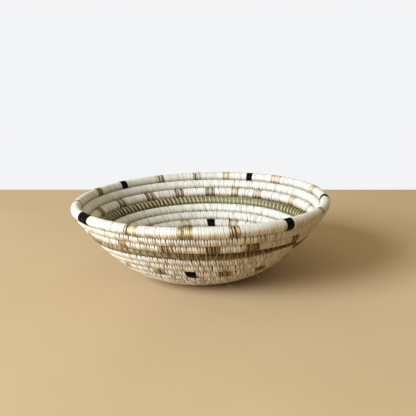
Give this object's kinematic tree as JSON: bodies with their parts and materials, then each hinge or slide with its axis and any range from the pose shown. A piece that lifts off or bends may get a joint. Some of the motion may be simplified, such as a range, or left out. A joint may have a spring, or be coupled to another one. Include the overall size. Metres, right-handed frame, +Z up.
{
  "type": "coiled basket",
  "caption": "Shallow round coiled grass bowl, wrapped in cream sisal, with one bare green round under open stitches and short black and tan bands.",
  "frame": {"origin": "middle of the underside, on the surface that the basket stands on", "axes": "+Z up through the bowl's mouth; +Y away from the side that the picture looks at, +X to its right"},
  "size_m": [0.2028, 0.2028, 0.0624],
  "materials": {
    "cream_sisal": "satin",
    "tan_sisal": "satin",
    "black_sisal": "satin",
    "sweetgrass": "matte"
  },
  "bodies": {
    "root": {"centre_knot": "cream_sisal", "lower_coil": "cream_sisal", "open_round_bundle": "sweetgrass", "open_round_stitching": "tan_sisal", "rim_black_band_1": "black_sisal", "rim_black_band_2": "black_sisal", "rim_black_band_3": "black_sisal", "rim_black_band_4": "black_sisal", "rim_black_band_5": "black_sisal", "rim_coil": "cream_sisal", "rim_tan_band_1": "tan_sisal", "rim_tan_band_10": "tan_sisal", "rim_tan_band_11": "tan_sisal", "rim_tan_band_2": "tan_sisal", "rim_tan_band_3": "tan_sisal", "rim_tan_band_4": "tan_sisal", "rim_tan_band_5": "tan_sisal", "rim_tan_band_6": "tan_sisal", "rim_tan_band_7": "tan_sisal", "rim_tan_band_8": "tan_sisal", "rim_tan_band_9": "tan_sisal", "seventh_round_black_band_1": "black_sisal", "seventh_round_black_band_2": "black_sisal", "seventh_round_black_band_3": "black_sisal", "seventh_round_black_band_4": "black_sisal", "seventh_round_tan_band_1": "tan_sisal", "seventh_round_tan_band_10": "tan_sisal", "seventh_round_tan_band_11": "tan_sisal", "seventh_round_tan_band_12": "tan_sisal", "seventh_round_tan_band_2": "tan_sisal", "seventh_round_tan_band_3": "tan_sisal", "seventh_round_tan_band_4": "tan_sisal", "seventh_round_tan_band_5": "tan_sisal", "seventh_round_tan_band_6": "tan_sisal", "seventh_round_tan_band_7": "tan_sisal", "seventh_round_tan_band_8": "tan_sisal", "seventh_round_tan_band_9": "tan_sisal", "third_round_tan_band_1": "tan_sisal", "third_round_tan_band_10": "tan_sisal", "third_round_tan_band_11": "tan_sisal", "third_round_tan_band_12": "tan_sisal", "third_round_tan_band_13": "tan_sisal", "third_round_tan_band_14": "tan_sisal", "third_round_tan_band_15": "tan_sisal", "third_round_tan_band_16": "tan_sisal", "third_round_tan_band_2": "tan_sisal", "third_round_tan_band_3": "tan_sisal", "third_round_tan_band_4": "tan_sisal", "third_round_tan_band_5": "tan_sisal", "third_round_tan_band_6": "tan_sisal", "third_round_tan_band_7": "tan_sisal", "third_round_tan_band_8": "tan_sisal", "third_round_tan_band_9": "tan_sisal", "upper_coil": "cream_sisal"}
  },
  "joints": []
}
